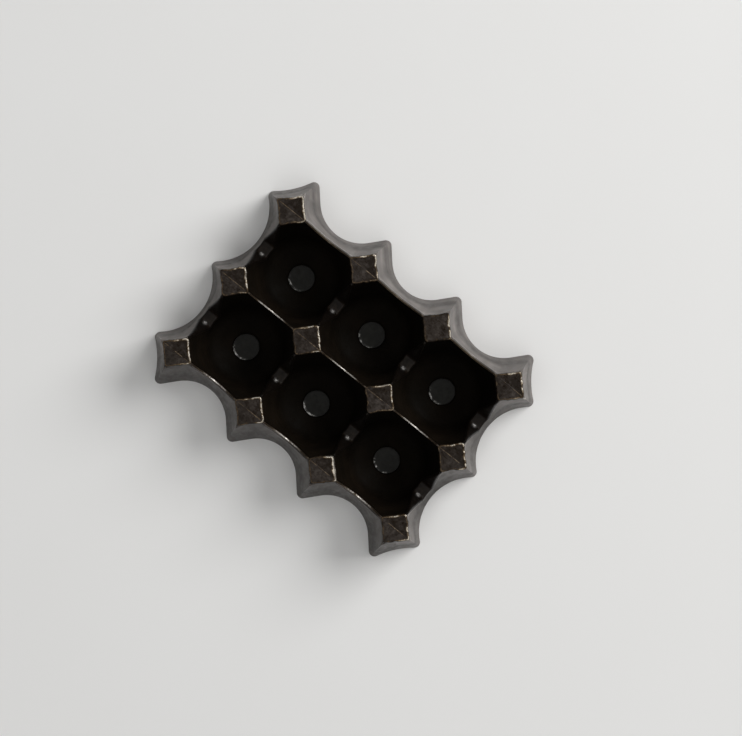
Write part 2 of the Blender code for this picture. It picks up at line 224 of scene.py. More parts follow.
def step(value, low, high):
    """0 below low, 1 above high and smooth between them."""
    t = np.clip((value - low) / (high - low), 0.0, 1.0)
    return t * t * (3 - 2 * t)


def soft_max(value, floor, ease):
    """The larger of the two, with the corner between them rounded over about this much."""
    return floor + ease * np.logaddexp(0.0, (value - floor) / ease)


def ring_faces(count, size, wrap):
    index = np.arange(count * size).reshape(count, size)
    beside = np.roll(index, -1, axis=1)
    last = count if wrap else count - 1
    quads = np.stack([index, beside, np.roll(beside, -1, axis=0), np.roll(index, -1, axis=0)], axis=-1)
    faces = quads[:last].reshape(-1, 4).tolist()
    if not wrap:
        faces += [index[0][::-1].tolist(), index[-1].tolist()]
    return faces


def piece(node, rings, material, slot, wrap=False, sharp=50.0, **masks):
    """One closed body through rings of matching points that stands for a CAD node and rides on its body."""
    mesh = bpy.data.meshes.new(node + "_finished")
    mesh.from_pydata(rings.reshape(-1, 3).tolist(), [], ring_faces(rings.shape[0], rings.shape[1], wrap))
    bm = bmesh.new()
    bm.from_mesh(mesh)
    bmesh.ops.recalc_face_normals(bm, faces=bm.faces)
    bm.to_mesh(mesh)
    bm.free()
    for name, values in masks.items():
        layer = mesh.attributes.new(name, "FLOAT", "POINT")
        layer.data.foreach_set("value", np.broadcast_to(values, rings.shape[:2]).astype(np.float32).ravel())
    mesh.shade_smooth()
    mesh.set_sharp_from_angle(angle=math.radians(sharp))
    mesh.materials.append(material)
    made = bpy.data.objects.new(mesh.name, mesh)
    bpy.context.scene.collection.objects.link(made)
    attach(made, BODY_OF[node])
    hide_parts(node)
    return made


def part_way(start, end, reach):
    """From start towards end by reach, but never past the middle."""
    way = end - start
    length = np.maximum(np.linalg.norm(way, axis=-1, keepdims=True), 1e-9)
    return start + way * np.minimum(reach / length, 0.45)


def rounded_rings(corners, cuts, splits, arc_points=5):
    """Rings through rows of corners. cuts is how far a rounding reaches, splits the extra points per edge."""
    count = corners.shape[1]
    points = []
    for i in range(count):
        here, before, after = corners[:, i], corners[:, i - 1], corners[:, (i + 1) % count]
        start = part_way(here, before, cuts[i])
        end = part_way(here, after, cuts[i])
        for t in np.linspace(0, 1, arc_points):
            points.append((1 - t) ** 2 * start + 2 * t * (1 - t) * here + t * t * end)
        following = part_way(after, here, cuts[(i + 1) % count])
        for t in np.linspace(0, 1, splits[i] + 2)[1:-1]:
            points.append(end + (following - end) * t)
    return np.stack(points, axis=1)


# ---------------------------------------------------------------- shape of the bowls and crests


def outward(angle):
    return np.array((math.sin(angle), -math.cos(angle)))


def fillet_centre():
    """Centre (radius, height) of the arc that joins the bowl's floor line to its wall line."""
    floor_n = outward(FLOOR_ANGLE)
    wall_n = outward(WALL_ANGLE)
    reach = (floor_n @ (SEAT_R, SEAT_LIP_Z) - BOWL_FILLET, wall_n @ (MOUTH_R, DECK_Z) - BOWL_FILLET)
    return np.linalg.solve(np.array((floor_n, wall_n)), np.array(reach))


FILLET = fillet_centre()


def bowl_radius(z):
    """Inner radius of a cup at height z."""
    drop = (FILLET[1] - z) / BOWL_FILLET
    wall = MOUTH_R - (DECK_Z - z) / math.tan(WALL_ANGLE)
    floor = SEAT_R + (z - SEAT_LIP_Z) / math.tan(FLOOR_ANGLE)
    arc = FILLET[0] + BOWL_FILLET * np.sqrt(np.clip(1 - drop * drop, 0, 1))
    return np.where(drop <= math.cos(WALL_ANGLE), wall, np.where(drop >= math.cos(FLOOR_ANGLE), floor, arc))


def wall_height(r):
    return np.minimum(DECK_Z, DECK_Z - (MOUTH_R - r) * math.tan(WALL_ANGLE))


def ridge_crest(along):
    return wall_height(np.hypot(along, HALF_Y))


NOTCH_END = math.sqrt(MOUTH_R**2 - HALF_X**2)
STRAP_END = math.sqrt(MOUTH_R**2 - (HALF_X - CAP_TIP_HALF) ** 2)
SEAM_END = math.sqrt(MOUTH_R**2 - (HALF_Y - CAP_TIP_HALF) ** 2)
SADDLE_SLOPE = (DECK_Z - NOTCH_Z) / (NOTCH_END - NOTCH_HALF)
SEAT_Z = NOTCH_Z - BRIDGE_FLAT_THICK
SEAT_HALF = NOTCH_HALF + (BRIDGE_SLOPE_THICK - BRIDGE_FLAT_THICK) / SADDLE_SLOPE


def saddle_climb(along):
    return NOTCH_Z + SADDLE_SLOPE * (np.abs(along) - NOTCH_HALF)


def saddle_crest(along):
    """Top of a saddle bridge at a distance along Y from the middle of a cup, with eased corners."""
    return np.minimum(soft_max(saddle_climb(along), NOTCH_Z, BRIDGE_EASE), DECK_Z - 0.2 * MM)


def saddle_seat(along):
    """Height of the wall edges that a saddle bridge covers."""
    return np.clip(SEAT_Z + SADDLE_SLOPE * (np.abs(along) - SEAT_HALF), SEAT_Z, RIM_Z)


# ---------------------------------------------------------------- materials


class Nodes:
    """A material's node tree with short calls for the few nodes that the looks need."""

    def __init__(self, name):
        self.material = bpy.data.materials.new(name)
        self.material.use_nodes = True
        self.tree = self.material.node_tree
        self.shader = self.tree.nodes["Principled BSDF"]
        self.place = self.tree.nodes.new("ShaderNodeTexCoord").outputs["Object"]

    def link(self, source, target):
        self.tree.links.new(source, target)

    def mask(self, name):
        node = self.tree.nodes.new("ShaderNodeAttribute")
        node.attribute_name = name
        return node.outputs["Fac"]

    def stretched(self, scale):
        node = self.tree.nodes.new("ShaderNodeMapping")
        node.inputs["Scale"].default_value = scale
        self.link(self.place, node.inputs["Vector"])
        return node.outputs["Vector"]

    def noise(self, size, detail=4.0, roughness=0.55, scale=(1, 1, 1)):
        """Noise whose features are about this many metres wide, stretched by scale."""
        node = self.tree.nodes.new("ShaderNodeTexNoise")
        node.inputs["Scale"].default_value = 1 / size
        node.inputs["Detail"].default_value = detail
        node.inputs["Roughness"].default_value = roughness
        self.link(self.stretched(scale), node.inputs["Vector"])
        return node.outputs["Fac"]

    def spread(self, value, low, high, start=0.0, end=1.0):
        node = self.tree.nodes.new("ShaderNodeMapRange")
        node.interpolation_type = "SMOOTHSTEP"
        node.inputs["From Min"].default_value = low
        node.inputs["From Max"].default_value = high
        node.inputs["To Min"].default_value = start
        node.inputs["To Max"].default_value = end
        self.link(value, node.inputs["Value"])
        return node.outputs["Result"]

    def maths(self, operation, a, b):
        node = self.tree.nodes.new("ShaderNodeMath")
        node.operation = operation
        for socket, value in zip(node.inputs, (a, b)):
            if isinstance(value, (int, float)):
                socket.default_value = value
            else:
                self.link(value, socket)
        return node.outputs["Value"]

    def mixed(self, factor, a, b):
        node = self.tree.nodes.new("ShaderNodeMix")
        node.data_type = "RGBA"
        self.link(factor, node.inputs["Factor"])
        sockets = [s for s in node.inputs if s.type == "RGBA"]
        for socket, value in zip(sockets, (a, b)):
            if isinstance(value, tuple):
                socket.default_value = (*value, 1.0)
            else:
                self.link(value, socket)
        return [s for s in node.outputs if s.type == "RGBA"][0]

    def bump(self, height, distance, strength=1.0, under=None):
        node = self.tree.nodes.new("ShaderNodeBump")
        node.inputs["Strength"].default_value = strength
        node.inputs["Distance"].default_value = distance
        self.link(height, node.inputs["Height"])
        if under is not None:
            self.link(under, node.inputs["Normal"])
        return node.outputs["Normal"]


# Each metal goes from just rubbed to bare, and where a wear mask carries painted highlights the bare metal is
# that painted highlight. Each coat is its dark and its light colour, and where a tone mask carries painted
# light the light colour is painted light and the dark colour painted shade.
BRONZES = ((0.075, 0.050, 0.027), (0.34, 0.27, 0.185), (0.76, 0.70, 0.61))
GREYS = ((0.020, 0.020, 0.018), (0.16, 0.155, 0.145), (0.46, 0.45, 0.43))
SATINS = ((0.215, 0.198, 0.184), (0.40, 0.375, 0.35), (0.75, 0.72, 0.69))
SOLDERS = ((0.085, 0.062, 0.040), (0.36, 0.325, 0.28), (0.78, 0.745, 0.70))
PALE_GREYS = ((0.060, 0.057, 0.054), (0.30, 0.288, 0.275), (0.72, 0.70, 0.68))
CUP_COAT = ((0.0032, 0.0026, 0.0018), (0.0110, 0.0075, 0.0048))
DISC_COAT = ((0.0045, 0.0042, 0.0032), (0.0125, 0.0118, 0.0092))
DECK_COAT = ((0.0075, 0.0038, 0.0012), (0.049, 0.0400, 0.0345))
BRIDGE_COAT = ((0.003, 0.002, 0.0014), (0.022, 0.0160, 0.0115))
SKIRT_COAT = ((0.048, 0.043, 0.039), (0.268, 0.242, 0.228))


def coated(name, coat, metals, tone_size, gloss, level, bump_depth, scale=(1, 1, 1), shine=1.0):
    """Dark patina over metal. The mesh's tone mask lifts the colour, as random tone and as painted light, and
    its wear mask bares the metal, as real wear and as painted highlights.
    """
    n = Nodes(name)
    cloud = n.spread(n.noise(tone_size, 5.0, 0.6, scale), 0.32, 0.70)
    tone = n.maths("MULTIPLY", n.mask("tone"), n.maths("ADD", n.maths("MULTIPLY", cloud, 0.6), 0.4))
    patina = n.mixed(tone, *coat)
    speck = n.spread(n.noise(0.8 * MM, 3.0, 0.6), 0.30, 0.66)
    bare = n.maths("MULTIPLY", n.mask("wear"), n.maths("ADD", n.maths("MULTIPLY", speck, 0.6), 0.4))
    rubbed = n.mixed(n.spread(bare, 0.05, 0.32), patina, metals[0])
    metal = n.mixed(n.spread(bare, 0.5, 0.85), metals[1], metals[2])
    n.link(n.mixed(n.spread(bare, 0.3, 0.6), rubbed, metal), n.shader.inputs["Base Color"])
    n.link(n.spread(bare, 0.25, 0.6, 0.0, shine), n.shader.inputs["Metallic"])
    rough = n.spread(n.noise(tone_size * 0.5, 4.0, 0.6, scale), 0.3, 0.7, *gloss)
    n.link(rough, n.shader.inputs["Roughness"])
    n.shader.inputs["IOR"].default_value = 1.5
    n.shader.inputs["Specular IOR Level"].default_value = level
    fine = n.bump(n.noise(0.45 * MM, 3.0, 0.6), 0.02 * MM, 0.6)
    n.link(n.bump(n.noise(2.6 * MM, 4.0, 0.6, scale), bump_depth, 1.0, fine), n.shader.inputs["Normal"])
    return n.material


def floor_material():
    n = Nodes("pale_floor")
    n.link(n.mixed(n.noise(90 * MM, 3.0, 0.5), (0.785, 0.78, 0.77), (0.80, 0.797, 0.79)),
           n.shader.inputs["Base Color"])
    n.shader.inputs["Roughness"].default_value = 0.7
    n.shader.inputs["Specular IOR Level"].default_value = 0.2
    return n.material


# ---------------------------------------------------------------- cups


def bowl_polyline(offset):
    """Many points (radius, height) from the disc seat up to the deck, moved outward by offset."""
    angles = np.linspace(FLOOR_ANGLE, WALL_ANGLE, 24)
    arc = FILLET + np.stack([np.sin(angles), -np.cos(angles)], axis=-1) * (BOWL_FILLET + offset)
    run = (arc[0, 0] - SEAT_R - offset) * np.linspace(1, 0, 12)[:-1, None]
    floor = arc[0] - run * (1.0, math.tan(FLOOR_ANGLE))
    climb = (DECK_Z - arc[-1, 1]) * np.linspace(0, 1, 50)[1:, None]
    wall = arc[-1] + climb * (1 / math.tan(WALL_ANGLE), 1.0)
    return np.concatenate([floor, arc, wall])


def cut_line(line, top, points):
    """The polyline from its start up to the height top, as evenly spaced points."""
    reach = np.concatenate([[0.0], np.cumsum(np.linalg.norm(np.diff(line, axis=0), axis=1))])
    end = np.interp(top, line[:, 1], reach)
    at = np.linspace(0.0, end, points)
    return np.stack([np.interp(at, reach, line[:, 0]), np.interp(at, reach, line[:, 1])], axis=-1)


def cup_top(angle, inner, limit):
    """Height at which the wall stops in this direction: the deck, the row's seam or a saddle's seat."""
    under = saddle_seat(inner[:, 0] * math.sin(angle)) + 0.6 * MM
    blocked = np.nonzero(inner[:, 1] > under)[0]
    saddle = inner[blocked[0], 1] if len(blocked) else DECK_Z
    if len(blocked):
        i = blocked[0]
        gap_low = under[i - 1] - inner[i - 1, 1]
        gap_high = inner[i, 1] - under[i]
        saddle = inner[i - 1, 1] + (inner[i, 1] - inner[i - 1, 1]) * gap_low / (gap_low + gap_high)
    return min(saddle, float(wall_height(limit - EDGE_THICK)), RIM_Z)


def cup_rings():
    """Profile loops round the cup: up the inside, over the edge, down the outside and round the foot."""
    inner = bowl_polyline(0.0)
    outer = bowl_polyline(SHEET)
    foot = [(SEAT_R + SHEET, 0.0), (PUSH_HOLE_R + 0.3 * MM, 0.0), (PUSH_HOLE_R, 0.3 * MM),
            (PUSH_HOLE_R, SEAT_FLOOR_Z), (SEAT_R - 0.2 * MM, SEAT_FLOOR_Z), (SEAT_R, SEAT_FLOOR_Z + 0.3 * MM),
            (SEAT_R, SEAT_LIP_Z - 0.35 * MM)]
    rings = []
    for angle in np.linspace(0, 2 * math.pi, CUP_COLUMNS, endpoint=False):
        cos, sin = abs(math.cos(angle)), abs(math.sin(angle))
        limit = min((HALF_X - HAIRLINE) / max(cos, 1e-9), (HALF_Y - SEAM_HALF - HAIRLINE) / max(sin, 1e-9))
        top = cup_top(angle, inner, limit)
        inside = cut_line(inner, top, 46)
        inside[0] += (0.28 * MM, 0.0)
        outside = cut_line(outer, top, 26)
        wall = np.interp(outside[:, 1], inside[:, 1], inside[:, 0])
        outside[:, 0] = np.maximum(np.minimum(outside[:, 0], limit), wall)
        profile = np.concatenate([inside, outside[::-1], foot])
        x, y = profile[:, 0] * math.cos(angle), profile[:, 0] * math.sin(angle)
        rings.append(np.stack([x, y, profile[:, 1]], axis=-1))
    return np.array(rings)


def add_cups(material):
    rings = cup_rings()
    for row, column in itertools.product(range(ROWS), range(COLUMNS)):
        centre = FIRST_CUP * (1, 1, 0) + (2 * HALF_X * column, 2 * HALF_Y * row, 0)
        placed = rings + centre
        wave = 0.12 * MM * layered(placed * (1, 1, 0.5), 9 * MM, 3)
        inward = -rings * (1, 1, 0) / np.linalg.norm(rings[..., :2], axis=-1, keepdims=True)
        inside = np.zeros(rings.shape[1])
        inside[2:44] = 1.0
        placed = placed + inward * (wave * inside)[..., None]
        node = f"cup_{ROW_NAMES[row]}_{column + 1}"
        # Painted light: the walls on the -Y side, which face the window, are lifted towards the coat's light
        # colour, and the lower walls are left dark as painted shade.
        painted_lit_wall = step(inward[..., 1] * step(rings[..., 2], 6 * MM, 16 * MM), 0.1, 0.9)
        tone = 0.25 + 0.25 * layered(placed, 14 * MM, 11) + 0.6 * painted_lit_wall
        piece(node, placed, material, "dark_patina", wrap=True, tone=tone, wear=chip(placed, centre, node))


def chip(points, centre, node):
    """A small bare spot on the wall of the middle front cup."""
    if node != CHIPPED_CUP:
        return np.zeros(points.shape[:2])
    return 1.2 * step(-np.linalg.norm(points - centre - CHIP_AT, axis=-1), -1.6 * MM, -0.4 * MM)


# ---------------------------------------------------------------- base discs


def add_discs(material):
    angles = np.linspace(0, 2 * math.pi, DISC_COLUMNS, endpoint=False)
    for row, column in itertools.product(range(ROWS), range(COLUMNS)):
        label = f"{ROW_NAMES[row]}_{column + 1}"
        low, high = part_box(f"base_disc_{label}")
        centre = node_centre(f"base_disc_{label}") * (1, 1, 0)
        profile = disc_profile(low.z, high.z)
        ring = np.stack([np.cos(angles), np.sin(angles)], axis=-1)
        rings = np.array([np.column_stack([ring * r, np.full(len(angles), z)]) for r, z in profile]) + centre
        lumps = layered(rings, 1.3 * MM, 31 + 7 * row + column)
        edge = np.array([step(r, DISC_R - 1.8 * MM, DISC_R - 0.6 * MM) for r, z in profile])[:, None]
        top = np.array([float(z > low.z + 0.6 * (high.z - low.z)) for r, z in profile])[:, None]
        rings[..., 2] -= 0.05 * MM * top * (0.5 + 0.5 * lumps)
        # Painted highlight: the bared crescent on each disc's rounded edge towards -Y, which faces the
        # window, stands for the window's glint.
        turn = math.radians(-105 + 9 * grain(np.array((row, column, 0.5)), 1.0, 5))
        toward = np.cos(angles - turn)[None, :]
        wear = 0.95 * edge * top * step(toward, 0.3, 0.9) * step(lumps, -0.8, 0.4)
        tone = 0.62 + 0.35 * layered(rings, 5 * MM, 77) + 0.35 * lumps - 0.45 * edge
        piece(f"base_disc_{label}", rings, material, "disc_grey", tone=tone, wear=wear)


def disc_profile(low, high):
    """Points (radius, height) from the middle of the underside round the edge to the middle of the top."""
    ease = 0.35 * MM
    under = [(r * DISC_R, low) for r in (0.02, 0.4, 0.8, 0.95)]
    edge = [(DISC_R - ease + ease * math.cos(a), high - ease + ease * math.sin(a))
            for a in np.linspace(0, math.pi / 2, 5)]
    dish = [(r * DISC_R, high - 0.12 * MM * (1 - (r / 0.9) ** 2)) for r in np.linspace(0.9, 0.01, 26)]
    return under + [(DISC_R, low + 0.15 * MM)] + edge + dish


# ---------------------------------------------------------------- post caps


def cap_reach(angles):
    """Distance from a post's centre to its cap's edge: four arcs of cup mouths, with blunt tips."""
    cos, sin = np.hypot(np.cos(angles), CAP_TIP_ROUND), np.hypot(np.sin(angles), CAP_TIP_ROUND)
    facing = HALF_X * cos + HALF_Y * sin
    arc = facing - np.sqrt(facing**2 - (HALF_X**2 + HALF_Y**2 - MOUTH_R**2))
    tip = np.where(cos > sin, CAP_TIP_X / np.maximum(cos, 0.1), CAP_TIP_Y / np.maximum(sin, 0.1))
    chord = 1 / (cos / CAP_TIP_X + sin / CAP_TIP_Y)
    edge = arc + CAP_OVERHANG + CAP_STRAIGHTEN * np.maximum(chord - arc, 0.0)
    return -soft_max(-edge, -tip, CAP_TIP_EASE)


def cap_rings(seed, flat, level):
    """Loops round the cap from under its middle, up the side and over the beaded edge to the peak."""
    angles = np.linspace(0, 2 * math.pi, CAP_COLUMNS, endpoint=False)
    ring = np.stack([np.cos(angles), np.sin(angles), np.zeros(len(angles))], axis=-1)
    reach = cap_reach(angles)
    wander = 0.40 * layered(ring * 6 * MM, 3.5 * MM, seed) + 0.30 * layered(ring * 8 * MM, 1.5 * MM, seed)
    reach = reach + MM * wander
    bead = 0.5 + 0.65 * layered(ring * 7 * MM, 2.0 * MM, seed + 40)
    low = DECK_Z - CAP_THICK
    widen = (DECK_Z - low) / math.tan(WALL_ANGLE)
    under = [ring * (reach * t)[:, None] + (0, 0, low) for t in (0.02, 0.5, 0.9)]
    side = [ring * (reach + widen * (1 - t))[:, None] + (0, 0, low + (CAP_THICK - 0.25 * MM) * t)
            for t in (0.0, 0.12, 0.5, 0.85, 1.0)]
    inset = np.concatenate([np.linspace(0.0, 1.6, 17) * MM, np.linspace(2.0, 9.4, 24) * MM])
    spread = np.abs(np.array((np.cos(angles), np.sin(angles))))
    quarter = np.minimum(angles / (math.pi / 2), 3.99).astype(int)
    facets = np.array(FACET_TONE)[quarter] + 0.15 * lattice(np.stack([quarter] * 3, axis=-1), seed)
    facets = facets if not flat else np.full(len(angles), 0.55)
    tops, wears, tones = [], [], []
    for gap in inset:
        rho = np.maximum(reach - gap, reach * 0.01)
        share = rho / reach
        peak = CAP_RISE * 0.75 * (1 - share) if not flat else 0.1 * MM * step(1 - share, 0.0, 0.4)
        height = (0.06 + 0.30 * bead) * MM * np.exp(-(((gap - 0.42 * MM) / (0.24 * MM)) ** 2)) * level(angles)
        edge = -0.25 * MM * (1 - step(np.full(len(angles), gap), 0.0, 0.25 * MM))
        point = ring * rho[:, None]
        bumps = 0.045 * MM * layered(point, 1.6 * MM, seed + 80) * step(share * -1, -0.97, -0.8)
        off = rho * np.minimum(*spread)
        crease = np.exp(-((off / (0.20 * MM)) ** 2)) * (0.0 if flat else 1.0)
        crease = crease * np.where(spread[0] > spread[1], 1.0, 0.3)
        ridge = 0.10 * MM * crease * step(1 - share, 0.02, 0.15)
        z = np.minimum(DECK_Z + edge + peak + height + bumps + ridge, HEIGHT)
        tops.append(point + np.stack([0 * z, 0 * z, z], axis=-1))
        # The bead's bared metal is real wear and painted highlight: level widens and brightens it on the
        # edges towards the window.
        width = (0.28 + 0.40 * bead * level(angles)) * MM
        on_bead = np.exp(-(((gap - 0.45 * MM) / width) ** 2))
        on_bead = on_bead * (0.30 + 0.70 * step(bead, 0.28, 0.55)) * 1.3 * level(angles)
        broken = 0.30 + 0.70 * step(layered(point, 3.0 * MM, seed + 120), -0.3, 0.3)
        inner = step(1 - share, 0.03, 0.2)
        rubbed = 0.26 * step(layered(point, 1.6 * MM, seed + 240), -0.25, 0.45)
        rubbed = rubbed * (1 - step(gap, 0.5 * MM, 1.9 * MM))
        wears.append(np.maximum(np.maximum(on_bead, rubbed), 0.50 * crease * broken * inner))
        mottle = 0.65 * layered(point, 2.2 * MM, seed + 160)
        mottle = mottle + 0.45 * layered(point * (1, 3, 1), 1.0 * MM, seed + 200)
        tones.append(np.clip(facets + mottle, 0.0, 1.0) * (0.35 + 0.65 * inner))
    rings = np.array(under + side + tops)
    blank = np.zeros((len(under) + len(side), len(angles)))
    return rings, np.concatenate([blank, np.array(wears)]), np.concatenate([blank + 0.2, np.array(tones)])


def bead_and_highlight(angles):
    """How strongly a cap's bead stands and how bright its painted highlight is: most on the edges towards +X
    +Y, which face the window, least on those away.
    """
    return 0.30 + 0.70 * step(np.cos(angles - math.radians(62)), -0.35, 0.75)


# The flat cap's faint bead, whose painted highlight keeps to its edges towards the window.
def faint_bead_and_highlight(angles):
    return 0.10 + 0.9 * step(np.cos(angles - math.radians(38)), 0.55, 0.9)


# The thick cap's heavy bead, whose painted highlight is strongest on its edges towards the window.
def thick_bead_and_highlight(angles):
    return 0.20 + 2.2 * step(np.cos(angles - math.radians(58)), 0.3, 0.95)


def add_caps(material):
    levels = {FLAT_CAP: faint_bead_and_highlight, THICK_CAP: thick_bead_and_highlight}
    for line, post in itertools.product(range(ROWS + 1), range(COLUMNS + 1)):
        node = f"post_cap_{LINE_NAMES[line]}_{post + 1}"
        rings, wear, tone = cap_rings(7 * line + post + 1, node == FLAT_CAP, levels.get(node, bead_and_highlight))
        place = (2 * HALF_X * post - LINE_X, 2 * HALF_Y * line - LINE_Y, 0.0)
        piece(node, rings + place, material, "worn_bronze", wear=wear, tone=tone)


# ---------------------------------------------------------------- seam strips


def add_seams(material):
    reach = SEAM_END + 0.3 * MM
    along = np.linspace(-reach, reach, SEAM_COLUMNS)
    for line, column in itertools.product(range(ROWS + 1), range(COLUMNS)):
        place = np.array((2 * HALF_X * (column - 1), 2 * HALF_Y * line - LINE_Y, 0.0))
        seed = 200 + 10 * line + column
        here = np.stack([along, 0 * along, 0 * along], axis=-1) + place
        top = np.minimum(ridge_crest(along) + SEAM_PROUD, DECK_Z - 0.1 * MM)
        top = top + 0.12 * MM * layered(here, 3 * MM, seed)
        sway = 0.10 * MM * layered(here, 6 * MM, seed + 3)
        half = SEAM_HALF + 0.06 * MM * layered(here, 2 * MM, seed + 5)
        low = top - SEAM_DEPTH
        corners = np.stack([
            np.stack([along, sway - half, low], axis=-1),
            np.stack([along, sway + half, low], axis=-1),
            np.stack([along, sway + half, top], axis=-1),
            np.stack([along, sway - half, top], axis=-1),
        ], axis=1)
        rings = rounded_rings(corners, [0.05 * MM, 0.05 * MM, 0.42 * MM, 0.42 * MM], [1, 3, 1, 3])
        crest = step(rings[..., 2] - top[:, None], -0.5 * MM, -0.1 * MM)
        crest = crest * (1 - step(np.abs(rings[..., 1] - sway[:, None]), 0.22 * MM, 0.42 * MM))
        # The bared crest is real wear and a painted highlight of the crest's glint.
        worn = seam_wear(LINE_NAMES[line], column, along / reach)
        patch = step(layered(rings + place, 2.4 * MM, seed + 9), -0.7, 0.2)
        piece(f"seam_strip_{LINE_NAMES[line]}_{column + 1}", rings + place, material, "worn_bronze",
              wear=crest * worn[:, None] * (0.62 + 0.38 * patch), tone=0.4 + 0 * crest)


def seam_wear(line, column, share):
    """Bare metal along a strip, real wear and painted highlight: brightest in the middle of the middle line,
    faint along the back.
    """
    middle = step(-np.abs(share), -0.75, -0.35)
    if line == "middle":
        return 0.26 + 0.95 * middle
    if line == "front":
        return 0.26 + 0.80 * middle * step(share + 0.3 * column, -0.8, -0.2)
    return 0.32 + 0.12 * middle


# ---------------------------------------------------------------- saddle bridges


def add_bridges(material):
    reach = STRAP_END - HAIRLINE
    along = np.linspace(-reach, reach, BRIDGE_COLUMNS)
    top = saddle_crest(along)
    low = np.maximum(NOTCH_Z - BRIDGE_FLAT_THICK, saddle_climb(along) - BRIDGE_SLOPE_THICK)
    width = [np.maximum(HALF_X - np.sqrt(bowl_radius(z) ** 2 - along**2), BRIDGE_MIN_HALF) + 0.06 * MM
             for z in (low, top)]
    corners = np.stack([
        np.stack([-width[0], along, low], axis=-1),
        np.stack([width[0], along, low], axis=-1),
        np.stack([width[1], along, top], axis=-1),
        np.stack([-width[1], along, top], axis=-1),
    ], axis=1)
    shape = rounded_rings(corners, [0.05 * MM, 0.05 * MM, 1.1 * MM, 1.1 * MM], [1, 3, 9, 3])
    for row, post in itertools.product(range(ROWS), range(COLUMNS + 1)):
        place = np.array((2 * HALF_X * post - LINE_X, FIRST_CUP[1] + 2 * HALF_Y * row, 0.0))
        seed = 300 + 10 * row + post
        rings = shape + place
        # The platform's tone is painted reflection of the sky: lighter on the flat top and fading from -Y
        # towards +Y.
        flat = step(-np.abs(shape[..., 1]), -NOTCH_HALF - 1.0 * MM, -NOTCH_HALF + 0.4 * MM)
        upper = step(shape[..., 2] - top[:, None], -0.5 * MM, -0.1 * MM)
        rings[..., 2] += 0.10 * MM * layered(rings, 3.0 * MM, seed) * upper
        # Painted highlight: the bared spot at the platform's -Y end, where it curves up into the slope that
        # faces the window.
        foot_end = step(-np.abs(shape[..., 1] + NOTCH_HALF - 0.3 * MM), -1.6 * MM, -0.1 * MM)
        aside = 0.5 * MM * float(grain(np.array((row, post, 0.5)), 1.0, seed))
        middle = step(-np.abs(shape[..., 0] - aside), -2.2 * MM, -0.1 * MM)
        spot = foot_end * middle * upper
        painted_light_fall = np.interp(shape[..., 1], (-NOTCH_HALF, NOTCH_HALF), (1.0, 0.45))
        patch = 0.75 + 0.45 * layered(rings, 1.6 * MM, seed + 4)
        piece(f"saddle_bridge_{ROW_NAMES[row]}_{post + 1}", rings, material, "dark_patina",
              wear=(0.55 + 0.4 * patch) * spot, tone=np.clip((0.2 + 0.8 * flat * upper * painted_light_fall) * patch, 0, 1))


# ---------------------------------------------------------------- skirt
#
# A side is worked out in its own plan coordinates (s, d): s runs along the line of outer posts and d is the
# distance outside that line. half is the half pitch along s, and across is the half pitch along d.


class Side:
    def __init__(self, half, across, cells, line, ear, valley, other_ear, crest):
        self.half = half
        self.across = across
        self.cells = cells
        self.line = line
        self.ear = ear - EAR_R
        self.valley = valley
        self.other_ear = other_ear - EAR_R
        self.crest = crest


def scallop_foot(side, cell):
    """Foot outline of one scallop from ear tip to ear tip, as (s, d, place along the crest above)."""
    left_lean = CORNER_LEAN if cell == 0 else 0.0
    right_lean = CORNER_LEAN if cell == side.cells - 1 else 0.0
    half = side.half + (left_lean + right_lean) / 2
    middle = (right_lean - left_lean) / 2
    cos = math.cos(FLANK)
    radius = (half * math.sin(FLANK) - (side.ear - side.valley) * cos - EAR_R) / (1 - cos)
    turn = np.linspace(0, FLANK, EAR_STEPS + 1)
    ear = np.stack([EAR_R * np.sin(turn) - half, side.ear + EAR_R * np.cos(turn)], axis=-1)
    turn = np.linspace(-FLANK, FLANK, SCALLOP_STEPS + 1)
    arc = np.stack([radius * np.sin(turn), side.valley + radius * (1 - np.cos(turn))], axis=-1)
    flank = np.linspace(ear[-1], arc[0], 5)[1:-1]
    left = np.concatenate([ear, flank])
    outline = np.concatenate([left, arc, left[::-1] * (-1, 1)])
    return np.column_stack([outline[:, 0] + middle, outline[:, 1], outline[:, 0] * side.half / half])


def straight_corners(side, s, d, along):
    """Six corners (s, d, z) of the sheet's section: outer top, break, foot, then the inner three."""
    z = np.minimum(side.crest(along), RIM_Z)
    reach = np.sqrt(np.maximum(bowl_radius(z) ** 2 - along**2, 0.0))
    inner = SEAM_HALF + HAIRLINE
    top = np.maximum(side.across - reach, inner + SKIRT_TOP_THICK)
    zero = 0 * z
    outer = [(along, top, z), (s + (along - s) * BREAK_WIDTH, d + (top - d) * BREAK_WIDTH, z * BREAK_HEIGHT),
             (s, d, zero)]
    thick = [np.minimum(SKIRT_THICK, top - inner), SKIRT_THICK + zero, SKIRT_THICK + zero]
    ring = outer + [(a, b - t, c) for (a, b, c), t in zip(outer[::-1], thick[::-1])]
    return np.stack([np.stack(point, axis=-1) for point in ring], axis=1)


def corner_foot(side, mitre_turn):
    """Foot outline (s, d) from the tip of a corner ear to the mitre, from the corner post's centre."""
    ear = np.array((CORNER_LEAN, side.ear))
    other = np.array((side.other_ear, CORNER_LEAN))
    mitre = np.array((math.sin(mitre_turn), math.cos(mitre_turn)))
    lift = math.sqrt((CORNER_ARC_R + EAR_R) ** 2 - (np.linalg.norm(other - ear) / 2) ** 2)
    pivot = (ear + other) / 2 + mitre * lift
    turn = math.atan2(pivot[0] - ear[0], pivot[1] - ear[1])
    angles = np.linspace(0, turn, EAR_STEPS + 1)[1:]
    tip = ear + np.stack([np.sin(angles), np.cos(angles)], axis=-1) * EAR_R
    angles = np.linspace(turn, mitre_turn, CORNER_STEPS + 1)[1:]
    arc = pivot - np.stack([np.sin(angles), np.cos(angles)], axis=-1) * CORNER_ARC_R
    return np.concatenate([tip, arc])


